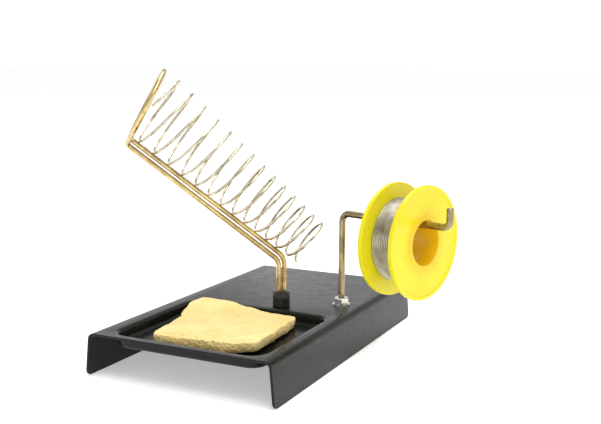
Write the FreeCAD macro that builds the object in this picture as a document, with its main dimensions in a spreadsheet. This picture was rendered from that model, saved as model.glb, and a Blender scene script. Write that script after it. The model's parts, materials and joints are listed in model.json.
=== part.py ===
import FreeCAD, Part
import math
import os
import Sketcher

# Soldering iron stand: a folded steel base with a pressed sponge well, a tapered
# coil on a bent-wire frame that takes the hot iron, and a bent rod that carries a
# reel of solder. Millimetres and degrees. +Z is up, +Y runs to the rear, and the
# origin is the middle of the whole stand's footprint, on the bench.

DRIVING_SIZES = [
    ("plate_x", -20.07, "middle of the plate from the origin, to the right"),
    ("plate_y", 0.0, "middle of the plate from the origin, to the rear"),
    ("plate_width", 96.0, "width over the flanges at the plate"),
    ("plate_length", 170.0, "front edge to rear edge"),
    ("base_height", 21.0, "bench to the top of the plate"),
    ("gauge", 1.2, "thickness of the sheet"),
    ("splay", 2.0, "how far each flange leans out at its foot"),
    ("outer_bend", 3.2, "outside radius of the two folds"),
    ("inner_bend", 2.0, "inside radius of the two folds"),
    ("foot_corner", 3.0, "radius on the flanges' lower corners"),
    ("well_x", 1.0, "middle of the sponge well from the plate's middle"),
    ("well_y", -44.0, "middle of the sponge well from the plate's middle"),
    ("well_width", 78.0, "inside of the well across the stand"),
    ("well_length", 72.0, "inside of the well along the stand"),
    ("well_depth", 5.5, "plate top to the well's floor"),
    ("well_corner", 8.0, "inside corner radius of the well"),
    ("well_lip", 1.0, "flat drawn where the plate rolls into the well"),
    ("well_foot", 1.2, "flat drawn between the well's walls and floor"),
    ("sponge_lift", 0.3, "clearance under the sponge"),
    ("sponge_thick", 6.0, "thickness of the damp sponge"),
    ("sponge_round", 4.0, "corner radius of the sponge"),
    ("sponge_left", -33.0, "sponge's rear left corner from the plate's middle"),
    ("sponge_right", 32.0, "sponge's front right corner from the plate's middle"),
    ("sponge_front", -73.5, "sponge's front left corner from the plate's middle"),
    ("sponge_rear", -12.5, "sponge's rear right corner from the plate's middle"),
    ("post_x", 9.0, "iron holder's post from the plate's middle"),
    ("post_y", 1.0, "iron holder's post from the plate's middle"),
    ("holder_turn", 215.0, "heading of the coil's mouth, anticlockwise from +X"),
    ("wire_sides", 6, "flats drawn round the frame's wire and the coil's"),
    ("frame_wire", 2.6, "diameter of the frame's wire"),
    ("leg_spacing", 3.2, "between the centres of the two legs"),
    ("leg_twist", 75.0, "turn of the pair of legs from level to upright"),
    ("bend_height", 25.0, "plate top to the corner of the legs' bend"),
    ("bend_radius", 7.0, "radius of the legs' bend, between the two wires"),
    ("leg_rise", 38.5, "slope of the legs above level"),
    ("leg_run", 98.0, "corner of the bend to the mouth ring, along the legs"),
    ("ring_radius", 18.5, "mouth ring, to the middle of its wire"),
    ("ring_lean", 118.0, "tilt of the ring's plane above level, from the mouth side"),
    ("ring_start", 10.8, "where the upper leg leaves the ring, from its lowest point"),
    ("ring_bend", 2.8, "bend radius between a leg and the ring"),
    ("coil_wire", 1.4, "diameter of the coil's wire"),
    ("coil_turns", 13.75, "turns of the coil, which ends against the side of the mouth ring"),
    ("coil_crowding", 0.8, "pitch at the coil's small end, as a share of the mean pitch"),
    ("coil_chords", 14, "straight chords in one drawn turn"),
    ("coil_gap", 0.05, "clearance between the coil and the upper leg"),
    ("coil_small", 11.6, "coil radius at its small end"),
    ("coil_large", 17.9, "coil radius at the mouth"),
    ("coil_tail", 7.0, "how far the coil passes the bend's corner"),
    ("coil_reach", 100.6, "coil's mouth end from the bend's corner, along the legs"),
    ("ferrule_dia", 9.0, "outside of the collar"),
    ("ferrule_height", 8.0, "height of the collar"),
    ("ferrule_bevel", 0.6, "chamfer on the collar's upper rim"),
    ("ferrule_grip", 5.0, "depth of the two sockets that hold the legs"),
    ("socket_play", 0.02, "radial play of a leg in its socket"),
    ("screw_dia", 4.0, "thread of the holder's screw"),
    ("screw_head", 7.0, "diameter of the screw's head"),
    ("screw_crown", 4.9, "diameter of the flat on the screw's head"),
    ("screw_head_height", 2.4, "height of the screw's head"),
    ("screw_shoulder", 1.0, "height of the straight side of the screw's head"),
    ("screw_bite", 2.8, "length of thread inside the collar"),
    ("screw_turn", 25.0, "turn of the driver slot"),
    ("driver_slot_width", 1.0, "width of the driver slot"),
    ("driver_slot_depth", 1.2, "depth of the driver slot"),
    ("stud_x", 36.0, "reel arm's foot from the plate's middle"),
    ("stud_y", 17.0, "reel arm's foot from the plate's middle"),
    ("arm_turn", -16.0, "heading of the reel arm, anticlockwise from +X"),
    ("arm_dia", 3.5, "diameter of the arm's rod"),
    ("rod_sides", 8, "flats drawn round the arm's rod"),
    ("rod_bevel", 0.7, "chamfer on the arm's tip"),
    ("arm_height", 48.6, "plate top to the level run of the arm"),
    ("arm_bend", 4.5, "radius of the arm's first bend"),
    ("arm_reach", 65.0, "foot to the upturned tip"),
    ("tip_bend", 3.5, "radius of the bend at the tip"),
    ("tip_height", 9.5, "level run to the top of the tip"),
    ("stud_drop", 7.5, "length of the arm below the plate top"),
    ("nut_flats", 7.0, "across the flats of a nut"),
    ("nut_height", 3.2, "height of a nut"),
    ("nut_turn", 12.0, "turn of both nuts from the arm's heading"),
    ("washer_dia", 9.2, "outside of a plain washer"),
    ("washer_thick", 0.8, "thickness of a plain washer"),
    ("spring_washer_dia", 7.6, "outside of a spring washer"),
    ("spring_washer_thick", 1.0, "thickness of a spring washer"),
    ("spring_washer_slit", 0.7, "gap in a spring washer"),
    ("holder_slit_turn", 70.0, "where the holder's spring washer is split"),
    ("arm_slit_turn", -40.0, "where the arm's spring washer is split"),
    ("hole_play", 0.2, "radial play of a washer or hole on its thread"),
    ("reel_reach", 42.0, "arm's foot to the middle of the reel"),
    ("reel_flange", 28.0, "radius of the reel's flanges"),
    ("reel_width", 19.8, "over both flanges"),
    ("reel_bore", 11.0, "radius of the reel's bore"),
    ("reel_boss", 12.8, "radius of the raised ring round the bore"),
    ("reel_barrel", 14.0, "radius of the barrel under the solder"),
    ("reel_wall", 2.2, "thickness of a flange at its rim"),
    ("reel_dish", 0.6, "how far the flange's web lies below its rim"),
    ("reel_rim", 26.4, "inner radius of the raised rim"),
    ("reel_play", 0.3, "clearance between the arm and the top of the bore"),
    ("solder_radius", 20.7, "outside of the winding"),
]

doc = FreeCAD.newDocument("soldering_iron_stand")
dims = doc.addObject("Spreadsheet::Sheet", "dims")
for row, (word, number, meaning) in enumerate(DRIVING_SIZES, start=1):
    dims.set(f"A{row}", word)
    dims.set(f"B{row}", str(number))
    dims.set(f"C{row}", meaning)
    dims.setAlias(f"B{row}", word)
doc.recompute()


def size(word):
    """The sheet's value for a word, as a number."""
    return float(getattr(dims, word))


def value(text):
    """What an expression on the sheet's words comes to, as a number."""
    return float(dims.evalExpression(text))


def bind(item, **expressions):
    """Bind an object's properties to expressions; a double underscore stands for a dot."""
    for name, text in expressions.items():
        item.setExpression(name.replace("__", "."), text)


def place(item, across, along, up, turn="0"):
    """Stand an object at a point, turned about the vertical, by expressions."""
    item.Placement = FreeCAD.Placement(FreeCAD.Vector(), FreeCAD.Rotation(FreeCAD.Vector(0, 0, 1), 1.0))
    bind(item, Placement__Base__x=across, Placement__Base__y=along, Placement__Base__z=up)
    bind(item, Placement__Rotation__Angle=turn)


def new_body(label):
    """An empty PartDesign body with its label."""
    body = doc.addObject("PartDesign::Body", label)
    body.Label = label
    return body


def new_sketch(body, name, role="XY_Plane", lift="0"):
    """A sketch on one of the body's own origin planes, lifted along the plane's normal."""
    plane = next(item for item in body.Origin.OriginFeatures if item.Role == role)
    sketch = body.newObject("Sketcher::SketchObject", name)
    sketch.AttachmentSupport = [(plane, "")]
    sketch.MapMode = "FlatFace"
    bind(sketch, AttachmentOffset__Base__z=lift)
    return sketch


def pin_point(sketch, edge, end, across, along):
    """Hold one point of a sketch at a place given by two expressions."""
    for kind, axis, text in (("DistanceX", -2, across), ("DistanceY", -1, along)):
        if text == "0":
            sketch.addConstraint(Sketcher.Constraint("PointOnObject", edge, end, axis))
            continue
        index = sketch.addConstraint(Sketcher.Constraint(kind, -1, 1, edge, end, value(text)))
        sketch.setExpression(f"Constraints[{index}]", text)


def draw_outline(sketch, corners, closed=True):
    """Straight lines through corners, each corner a pair of expressions."""
    points = [FreeCAD.Vector(value(across), value(along), 0) for across, along in corners]
    count = len(points) if closed else len(points) - 1
    for i in range(count):
        sketch.addGeometry(Part.LineSegment(points[i], points[(i + 1) % len(points)]))
    for i in range(count if closed else count - 1):
        sketch.addConstraint(Sketcher.Constraint("Coincident", i, 2, (i + 1) % count, 1))
    for i, (across, along) in enumerate(corners[:count]):
        pin_point(sketch, i, 1, across, along)
    if not closed:
        pin_point(sketch, count - 1, 2, *corners[-1])


def draw_rectangle(sketch, across, along, width, length):
    """A rectangle about a middle point."""
    left, right = f"{across} - ({width}) / 2", f"{across} + ({width}) / 2"
    front, rear = f"{along} - ({length}) / 2", f"{along} + ({length}) / 2"
    draw_outline(sketch, [(left, front), (right, front), (right, rear), (left, rear)])


def draw_circle(sketch, across, along, radius):
    """A circle about a point."""
    middle = FreeCAD.Vector(value(across), value(along), 0)
    edge = sketch.addGeometry(Part.Circle(middle, FreeCAD.Vector(0, 0, 1), value(radius)))
    pin_point(sketch, edge, 3, across, along)
    index = sketch.addConstraint(Sketcher.Constraint("Radius", edge, value(radius)))
    sketch.setExpression(f"Constraints[{index}]", radius)


def pad(body, sketch, length, symmetric=False):
    """Pad a sketch by a length."""
    feature = body.newObject("PartDesign::Pad", f"{sketch.Name}_pad")
    feature.Profile = sketch
    if symmetric:
        feature.SideType = "Symmetric"
    bind(feature, Length=length)
    return feature


def pocket(body, sketch, depth, upwards=False):
    """Cut a sketch to a depth, down from it or up from it."""
    feature = body.newObject("PartDesign::Pocket", f"{sketch.Name}_pocket")
    feature.Profile = sketch
    feature.Reversed = upwards
    bind(feature, Length=depth)
    return feature


def revolve(body, sketch, axis="H_Axis"):
    """Turn a sketch right round one of its own axes."""
    feature = body.newObject("PartDesign::Revolution", f"{sketch.Name}_turned")
    feature.Profile = sketch
    feature.ReferenceAxis = (sketch, [axis])
    feature.Angle = 360
    return feature


def dress(body, kind, chosen, radius):
    """Fillet or chamfer the edges of the body's last feature that a test picks."""
    doc.recompute()
    base = body.Tip
    names = [f"Edge{i}" for i, edge in enumerate(base.Shape.Edges, start=1) if chosen(edge)]
    feature = body.newObject(f"PartDesign::{kind}", f"{body.Name}_{kind}".lower())
    feature.Base = (base, names)
    bind(feature, **{"Radius" if kind == "Fillet" else "Size": radius})
    return feature


def spans(edge, **limits):
    """True where an edge's box meets the named limits, such as low_z or high_x, closely."""
    box = edge.BoundBox
    found = {"low_x": box.XMin, "high_x": box.XMax, "low_y": box.YMin, "high_y": box.YMax,
             "low_z": box.ZMin, "high_z": box.ZMax}
    return all(abs(found[name] - limit) < 0.01 for name, limit in limits.items())


def level_at(height):
    """A test for edges that lie level at a height."""
    return lambda edge: spans(edge, low_z=height, high_z=height)


PLATE_TOP = "dims.base_height"
PLATE_UNDER = "dims.base_height - dims.gauge"
POST = ("dims.plate_x + dims.post_x", "dims.plate_y + dims.post_y")
STUD = ("dims.plate_x + dims.stud_x", "dims.plate_y + dims.stud_y")


def fold_edge(height, across):
    """A test for the two long edges at a height and a distance from the middle plane."""
    return lambda edge: (spans(edge, low_z=height, high_z=height)
                         and abs(abs(edge.BoundBox.Center.x) - across) < 0.01)


def make_base_plate():
    """The folded channel: two flanges, a pressed well and two holes."""
    body = new_body("base_plate")
    side, foot = "dims.plate_width / 2", "(dims.plate_width / 2 + dims.splay)"
    right = [(f"{foot} - dims.gauge", "0"), (foot, "0"), (side, PLATE_TOP)]
    inner = [(f"-({side} - dims.gauge)", PLATE_UNDER), (f"{side} - dims.gauge", PLATE_UNDER)]
    left = [(f"-{side}", PLATE_TOP), (f"-{foot}", "0"), (f"-({foot} - dims.gauge)", "0")]
    profile = new_sketch(body, "channel", "XZ_Plane")
    draw_outline(profile, right + left + inner)
    pad(body, profile, "dims.plate_length", symmetric=True)
    top, under, end = size("base_height"), value(PLATE_UNDER), size("plate_length") / 2
    dress(body, "Fillet", fold_edge(top, value(side)), "dims.outer_bend")
    dress(body, "Fillet", fold_edge(under, value(side) - size("gauge")), "dims.inner_bend")
    dress(body, "Fillet",
          lambda e: spans(e, low_z=0, high_z=0) and abs(abs(e.BoundBox.Center.y) - end) < 0.01,
          "dims.foot_corner")

    tray = new_sketch(body, "well_outside", lift=f"{PLATE_UNDER} - dims.well_depth")
    draw_rectangle(tray, "dims.well_x", "dims.well_y", "dims.well_width + 2 * dims.gauge",
                   "dims.well_length + 2 * dims.gauge")
    pad(body, tray, "dims.well_depth + dims.gauge / 2")
    hollow = new_sketch(body, "well_inside", lift=PLATE_TOP)
    draw_rectangle(hollow, "dims.well_x", "dims.well_y", "dims.well_width", "dims.well_length")
    pocket(body, hollow, "dims.well_depth")
    floor, low = top - size("well_depth"), under - size("well_depth")
    inside = value("dims.well_width / 2 + dims.well_x + dims.gauge")
    dress(body, "Fillet", lambda e: spans(e, low_z=floor, high_z=top), "dims.well_corner")
    dress(body, "Chamfer", level_at(floor), "dims.well_foot")
    dress(body, "Chamfer",
          lambda e: spans(e, low_z=top, high_z=top) and abs(e.BoundBox.Center.x) < inside
          and abs(e.BoundBox.Center.y) < end - size("gauge"), "dims.well_lip")
    dress(body, "Fillet", lambda e: spans(e, low_z=low, high_z=under), "dims.well_corner + dims.gauge")
    dress(body, "Chamfer", level_at(low), "dims.well_foot + dims.gauge / 2")

    holes = new_sketch(body, "fixing_holes", lift=PLATE_TOP)
    for across, along in (("dims.post_x", "dims.post_y"), ("dims.stud_x", "dims.stud_y")):
        draw_circle(holes, across, along, "dims.screw_dia / 2 + dims.hole_play")
    pocket(body, holes, "2 * dims.gauge")
    place(body, "dims.plate_x", "dims.plate_y", "0")
    return body


def make_sponge():
    """The hand-cut sponge, a little askew in its well."""
    body = new_body("sponge")
    outline = new_sketch(body, "sponge_outline")
    draw_outline(outline, [("dims.sponge_left + 15", "dims.sponge_front"),
                           ("dims.sponge_right", "dims.sponge_front + 3.5"),
                           ("dims.sponge_right - 5", "dims.sponge_rear"),
                           ("dims.sponge_left", "dims.sponge_rear - 0.5")])
    pad(body, outline, "dims.sponge_thick")
    dress(body, "Fillet", lambda e: spans(e, low_z=0, high_z=size("sponge_thick")), "dims.sponge_round")
    place(body, "dims.plate_x", "dims.plate_y",
          "dims.base_height - dims.well_depth + dims.sponge_lift")
    return body


def washer(label, spot, outside, thick, bottom):
    """A plain washer lying on or under the plate."""
    body = new_body(label)
    ring = new_sketch(body, f"{label}_ring")
    draw_circle(ring, "0", "0", f"{outside} / 2")
    draw_circle(ring, "0", "0", "dims.screw_dia / 2 + dims.hole_play")
    pad(body, ring, thick)
    place(body, *spot, bottom)
    return body


def spring_washer(label, spot, bottom, turn):
    """A split spring washer, pressed flat."""
    body = washer(label, spot, "dims.spring_washer_dia", "dims.spring_washer_thick", bottom)
    slit = new_sketch(body, f"{label}_slit", lift="dims.spring_washer_thick")
    draw_rectangle(slit, "dims.spring_washer_dia / 2", "0", "dims.spring_washer_dia",
                   "dims.spring_washer_slit")
    pocket(body, slit, "2 * dims.spring_washer_thick")
    place(body, *spot, bottom, turn)
    return body


def nut(label, bottom):
    """A hexagon nut on the arm's threaded foot."""
    prism = doc.addObject("Part::Prism", f"{label}_hexagon")
    prism.Polygon = 6
    bind(prism, Circumradius="dims.nut_flats / 2 / cos(30 deg)", Height="dims.nut_height")
    bore = doc.addObject("Part::Cylinder", f"{label}_bore")
    bind(bore, Radius="dims.arm_dia / 2", Height="dims.nut_height")
    whole = doc.addObject("Part::Cut", label)
    whole.Base = prism
    whole.Tool = bore
    whole.Label = label
    place(whole, *STUD, bottom, "dims.arm_turn + dims.nut_turn")
    return whole


def make_fasteners():
    """Washers and nuts at the two holes, from the plate outwards."""
    top, under = PLATE_TOP, PLATE_UNDER
    plain, spring = "dims.washer_thick", "dims.spring_washer_thick"
    return [
        washer("holder_flat_washer", POST, "dims.washer_dia", plain, f"{under} - {plain}"),
        spring_washer("holder_lock_washer", POST, f"{under} - {plain} - {spring}", "dims.holder_slit_turn"),
        washer("arm_top_washer", STUD, "dims.washer_dia", plain, top),
        washer("arm_bottom_washer", STUD, "dims.washer_dia", plain, f"{under} - {plain}"),
        spring_washer("arm_lock_washer", STUD, f"{under} - {plain} - {spring}", "dims.arm_slit_turn"),
        nut("arm_top_nut", f"{top} + {plain}"),
        nut("arm_bottom_nut", f"{under} - {plain} - {spring} - dims.nut_height"),
    ]


def make_holder_screw():
    """Pan-head screw that comes up through the plate into the collar."""
    body = new_body("holder_screw")
    shank, head, crown = "dims.screw_dia / 2", "dims.screw_head / 2", "dims.screw_crown / 2"
    under, shoulder = "-dims.screw_head_height", "-dims.screw_shoulder"
    length = "dims.gauge + dims.washer_thick + dims.spring_washer_thick + dims.screw_bite"
    half = new_sketch(body, "screw_profile", "XZ_Plane")
    draw_outline(half, [("0", under), (crown, under), (head, shoulder), (head, "0"),
                        (shank, "0"), (shank, length), ("0", length)])
    revolve(body, half, "V_Axis")
    slot = new_sketch(body, "driver_slot", lift=under)
    draw_rectangle(slot, "0", "0", "dims.screw_head * 1.2", "dims.driver_slot_width")
    pocket(body, slot, "dims.driver_slot_depth", upwards=True)
    place(body, *POST, f"{PLATE_UNDER} - dims.washer_thick - dims.spring_washer_thick", "dims.screw_turn")
    return body


# Wire forms. The holder is drawn in its own upright plane: "out" runs level towards
# the mouth, "up" is vertical, and "side" is square to that plane.

def holder_axes():
    """The directions out and side, and the middle of the post on the plate."""
    heading = math.radians(size("holder_turn"))
    out = FreeCAD.Vector(math.cos(heading), math.sin(heading), 0)
    side = FreeCAD.Vector(0, 0, 1).cross(out) * -1
    foot = FreeCAD.Vector(value(POST[0]), value(POST[1]), size("base_height"))
    return foot, out, side


def in_plane(degrees_up):
    """The unit direction in the holder's plane at an angle above level."""
    out = holder_axes()[1]
    angle = math.radians(degrees_up)
    return out * math.cos(angle) + FreeCAD.Vector(0, 0, math.sin(angle))


def rounded(before, corner, after, radius):
    """The arc of a radius that rounds a corner, and its two ends."""
    back = (before - corner).normalize()
    onward = (after - corner).normalize()
    half = back.getAngle(onward) / 2
    start = corner + back * (radius / math.tan(half))
    end = corner + onward * (radius / math.tan(half))
    middle = corner + (back + onward).normalize() * (radius / math.sin(half) - radius)
    return start, Part.Arc(start, middle, end).toShape(), end


def leg_edges(foot, bend_corner, bend_radius, ring_corner, ring_point):
    """One leg from its foot to the ring, as lines and arcs."""
    first_start, first, first_end = rounded(foot, bend_corner, ring_corner, bend_radius)
    last_start, last, last_end = rounded(bend_corner, ring_corner, ring_point, size("ring_bend"))
    straight = [Part.makeLine(foot, first_start), Part.makeLine(first_end, last_start)]
    edges = [straight[0], first, straight[1], last]
    if (ring_point - last_end).Length > 0.01:
        edges.append(Part.makeLine(last_end, ring_point))
    return edges


def frame_path():
    """The wire's middle line: up the lower leg, round the ring, and down the upper leg."""
    foot, out, side = holder_axes()
    rise = math.radians(size("leg_rise"))
    along, square = in_plane(size("leg_rise")), in_plane(size("leg_rise") + 90)
    ring_up = in_plane(size("ring_lean"))
    twist = math.radians(size("leg_twist"))
    offset = size("leg_spacing") / 2 * math.sin(twist)
    beside = size("leg_spacing") / 2 * math.cos(twist)
    radius = size("ring_radius")
    tilt = ring_up.dot(square)
    near = math.radians(size("ring_start"))
    drop = radius / math.cos(near) - beside * math.tan(near)
    to_middle = drop + offset / tilt
    reach = to_middle + offset / tilt
    far = math.atan2(beside, reach) + math.acos(radius / math.hypot(reach, beside))
    bend = foot + FreeCAD.Vector(0, 0, size("bend_height"))
    centre = bend + along * size("leg_run") + ring_up * to_middle

    def leg(sign, start_angle):
        shift = side * (sign * beside)
        lean = sign * offset * (1 - math.sin(rise)) / math.cos(rise)
        corner = bend + shift - out * (sign * offset) + FreeCAD.Vector(0, 0, lean)
        low = FreeCAD.Vector(corner.x, corner.y, foot.z + size("ferrule_height") - size("ferrule_grip"))
        fall = radius / math.cos(start_angle) - beside * math.tan(start_angle)
        ring_corner = centre + shift - ring_up * fall
        ring_point = centre + side * (sign * radius * math.sin(start_angle)) - ring_up * (
            radius * math.cos(start_angle))
        turn = size("bend_radius") + sign * offset
        return leg_edges(low, corner, turn, ring_corner, ring_point), ring_point

    lower, lower_point = leg(-1, far)
    upper, upper_point = leg(1, near)
    ring = Part.Arc(lower_point, centre + ring_up * radius, upper_point).toShape()
    return Part.Wire(lower + [ring] + upper[::-1])


def sweep(label, path, section, start, direction, corners="Transformed"):
    """A wire of a section swept along a path object."""
    section.Placement = FreeCAD.Placement(start, FreeCAD.Rotation(FreeCAD.Vector(0, 0, 1), direction))
    whole = doc.addObject("Part::Sweep", label)
    whole.Sections = [section]
    whole.Spine = (path, [f"Edge{i + 1}" for i in range(len(path.Shape.Edges))])
    whole.Solid = True
    whole.Frenet = False
    whole.Transition = corners
    whole.Label = label
    return whole


def make_holder_frame():
    """One wire: both legs and the mouth ring."""
    wire = frame_path()
    path = doc.addObject("Part::Feature", "holder_frame_path")
    path.Shape = wire
    section = doc.addObject("Part::RegularPolygon", "holder_frame_section")
    bind(section, Polygon="dims.wire_sides", Circumradius="dims.frame_wire / 2")
    return sweep("holder_frame", path, section, wire.OrderedVertexes[0].Point, FreeCAD.Vector(0, 0, 1))


def make_coil_spring():
    """The tapered left-hand coil, lying on the upper leg and ending against the ring's side.

    Its turns are crowded at the small end and open towards the mouth.

    Its many turns are drawn in flat facets: chords round the coil, and a section of a
    few flats that has the round wire's area.
    """
    foot, _, side = holder_axes()
    length = size("coil_tail") + size("coil_reach")
    small, large, turns = size("coil_small"), size("coil_large"), size("coil_turns")
    taper, crowding = math.asin((large - small) / length), size("coil_crowding")
    along, square = in_plane(size("leg_rise")), in_plane(size("leg_rise") + 90)
    axis = in_plane(size("leg_rise") + math.degrees(taper))
    upward = in_plane(size("leg_rise") + math.degrees(taper) + 90)
    offset = size("leg_spacing") / 2 * math.sin(math.radians(size("leg_twist")))
    rest = offset + size("frame_wire") / 2 + size("coil_wire") / 2 + size("coil_gap")
    bend = foot + FreeCAD.Vector(0, 0, size("bend_height"))
    start = bend - along * size("coil_tail") + square * rest + upward * small
    points = []
    steps = int(turns * size("coil_chords"))
    for step in range(steps + 1):
        share = step / steps
        angle = 2 * math.pi * turns * share
        gone = crowding * share + (1 - crowding) * share ** 2
        spoke = side * math.sin(angle) - upward * math.cos(angle)
        along_axis = axis * (gone * length * math.cos(taper))
        points.append(start + along_axis + spoke * (small + (large - small) * gone))
    path = doc.addObject("Part::Feature", "coil_path")
    path.Shape = Part.makePolygon(points)
    section = doc.addObject("Part::RegularPolygon", "coil_section")
    same_area = "sqrt(2 * pi / (dims.wire_sides * sin(360 deg / dims.wire_sides)))"
    bind(section, Polygon="dims.wire_sides", Circumradius=f"dims.coil_wire / 2 * {same_area}")
    return sweep("coil_spring", path, section, points[0], points[1] - points[0], "Right corner")


def make_holder_ferrule():
    """The collar: two sockets above for the legs and a tapped hole below."""
    body = new_body("holder_ferrule")
    outside = new_sketch(body, "ferrule_outside")
    draw_circle(outside, "0", "0", "dims.ferrule_dia / 2")
    pad(body, outside, "dims.ferrule_height")
    dress(body, "Chamfer", level_at(size("ferrule_height")), "dims.ferrule_bevel")
    sockets = new_sketch(body, "leg_sockets", lift="dims.ferrule_height")
    for sign in ("-", ""):
        draw_circle(sockets, f"{sign}dims.leg_spacing / 2", "0", "dims.frame_wire / 2 + dims.socket_play")
    pocket(body, sockets, "dims.ferrule_grip")
    thread = new_sketch(body, "tapped_hole")
    draw_circle(thread, "0", "0", "dims.screw_dia / 2")
    pocket(body, thread, "dims.ferrule_height - dims.ferrule_grip", upwards=True)
    place(body, *POST, PLATE_TOP, "dims.holder_turn - 90 - dims.leg_twist")
    return body


def near_corner(corners, edge, step):
    """A point a quarter of the way along the line before or after an edge's end corner."""
    here, there = corners[edge + 1], corners[edge + 1 + step]
    spot = [value(a) + (value(b) - value(a)) / 4 for a, b in zip(here, there)]
    return FreeCAD.Vector(*spot, 0)


def make_reel_arm():
    """The bent rod: threaded foot, upright, level run and upturned tip."""
    body = new_body("reel_arm")
    path = new_sketch(body, "arm_path", "XZ_Plane")
    low, level = f"{PLATE_TOP} - dims.stud_drop", f"{PLATE_TOP} + dims.arm_height"
    summit = f"{level} + dims.tip_height"
    corners = [("0", low), ("0", level), ("dims.arm_reach", level), ("dims.arm_reach", summit)]
    draw_outline(path, corners, closed=False)
    for edge, word in enumerate(("arm_bend", "tip_bend")):
        path.fillet(edge, edge + 1, near_corner(corners, edge, -1), near_corner(corners, edge, 1), size(word))
        index = path.addConstraint(Sketcher.Constraint("Radius", path.GeometryCount - 1, size(word)))
        path.setExpression(f"Constraints[{index}]", f"dims.{word}")
    section = new_sketch(body, "arm_section", lift=low)
    sides = int(size("rod_sides"))
    turns = [f"{360 * i / sides + 180 / sides} deg" for i in range(sides)]
    draw_outline(section, [(f"dims.arm_dia / 2 * cos({t})", f"dims.arm_dia / 2 * sin({t})") for t in turns])
    rod = body.newObject("PartDesign::AdditivePipe", "arm_rod")
    rod.Profile = section
    rod.Spine = (path, [f"Edge{i + 1}" for i in range(5)])
    dress(body, "Chamfer", level_at(value(summit)), "dims.rod_bevel")
    place(body, *STUD, "0", "dims.arm_turn")
    return body


REEL_CENTRE = (
    "dims.plate_x + dims.stud_x + dims.reel_reach * cos(dims.arm_turn * 1 deg)",
    "dims.plate_y + dims.stud_y + dims.reel_reach * sin(dims.arm_turn * 1 deg)",
    "dims.base_height + dims.arm_height - dims.reel_bore + dims.arm_dia / 2 + dims.reel_play",
)


def make_solder_reel():
    """The moulded reel: barrel, two dished flanges with raised rims, and a bore ring."""
    body = new_body("solder_reel")
    out, web = "dims.reel_width / 2", "(dims.reel_width / 2 - dims.reel_dish)"
    inner = "(dims.reel_width / 2 - dims.reel_wall)"
    right = [(out, "dims.reel_bore"), (out, "dims.reel_boss"), (web, "dims.reel_boss"),
             (web, "dims.reel_rim"), (out, "dims.reel_rim"), (out, "dims.reel_flange"),
             (inner, "dims.reel_flange"), (inner, "dims.reel_barrel")]
    left = [(f"-{across}", radius) for across, radius in reversed(right)]
    half = new_sketch(body, "reel_profile", "XZ_Plane")
    draw_outline(half, right + left)
    revolve(body, half)
    place(body, *REEL_CENTRE, "dims.arm_turn")
    return body


def make_solder_winding():
    """The wound solder between the flanges, as one turned solid."""
    body = new_body("solder_winding")
    edge = "(dims.reel_width / 2 - dims.reel_wall)"
    half = new_sketch(body, "winding_profile", "XZ_Plane")
    draw_outline(half, [(f"-{edge}", "dims.reel_barrel"), (edge, "dims.reel_barrel"),
                        (edge, "dims.solder_radius"), (f"-{edge}", "dims.solder_radius")])
    revolve(body, half)
    place(body, *REEL_CENTRE, "dims.arm_turn")
    return body


pieces = [make_base_plate(), make_sponge()]
pieces += make_fasteners()
pieces += [make_holder_screw(), make_holder_ferrule(), make_holder_frame(), make_coil_spring()]
pieces += [make_reel_arm(), make_solder_reel(), make_solder_winding()]
doc.recompute()

for item in doc.Objects:
    if "Invalid" in item.State or "Error" in item.State:
        raise RuntimeError(f"{item.Label} did not compute: {item.State}")
os.makedirs("parts", exist_ok=True)
for piece in pieces:
    shape = piece.Shape
    if shape.isNull() or not shape.isValid() or shape.Volume <= 0:
        raise RuntimeError(f"{piece.Label} has no valid solid")
    shape.exportStep(os.path.join("parts", f"{piece.Label}.step"))
    print(f"{piece.Label}: {len(shape.Solids)} solid, {shape.Volume:.0f} mm3")
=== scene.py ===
import json
import logging
import math
from collections.abc import Callable, Sequence
from dataclasses import dataclass
from enum import Enum

import bmesh
import bpy
from mathutils import Matrix, Vector, noise


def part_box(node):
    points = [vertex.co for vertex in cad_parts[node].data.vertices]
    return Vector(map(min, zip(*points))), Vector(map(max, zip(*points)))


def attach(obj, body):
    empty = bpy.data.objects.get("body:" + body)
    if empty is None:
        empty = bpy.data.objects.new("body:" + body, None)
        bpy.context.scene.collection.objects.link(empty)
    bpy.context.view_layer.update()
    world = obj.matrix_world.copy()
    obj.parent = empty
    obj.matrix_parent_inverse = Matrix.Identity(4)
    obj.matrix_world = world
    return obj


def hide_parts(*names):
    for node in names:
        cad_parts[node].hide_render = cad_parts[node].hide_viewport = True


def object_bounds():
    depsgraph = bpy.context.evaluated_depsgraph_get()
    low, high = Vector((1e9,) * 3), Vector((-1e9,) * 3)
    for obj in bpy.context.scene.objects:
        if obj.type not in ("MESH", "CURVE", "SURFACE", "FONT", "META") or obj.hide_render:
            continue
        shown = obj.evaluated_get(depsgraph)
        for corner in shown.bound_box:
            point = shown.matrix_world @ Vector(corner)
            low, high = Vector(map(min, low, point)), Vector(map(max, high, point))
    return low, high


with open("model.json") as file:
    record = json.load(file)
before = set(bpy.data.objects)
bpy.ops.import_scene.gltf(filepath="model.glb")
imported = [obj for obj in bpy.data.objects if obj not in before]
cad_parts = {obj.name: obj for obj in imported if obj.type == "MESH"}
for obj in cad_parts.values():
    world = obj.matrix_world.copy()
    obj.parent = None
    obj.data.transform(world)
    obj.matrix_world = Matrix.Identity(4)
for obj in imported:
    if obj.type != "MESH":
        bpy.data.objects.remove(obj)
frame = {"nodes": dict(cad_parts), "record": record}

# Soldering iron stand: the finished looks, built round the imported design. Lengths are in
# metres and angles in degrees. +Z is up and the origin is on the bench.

CAD_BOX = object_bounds()
MM = 0.001
UP = Vector((0, 0, 1))
Color = tuple[float, float, float]
Socket = bpy.types.NodeSocket
log = logging.getLogger("soldering_stand")


class Body(Enum):
    """The bodies that the pieces ride on."""

    BASE = "base"
    HOLDER = "holder"
    ARM = "arm"
    REEL = "reel"
    PAD = "pad"


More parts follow.
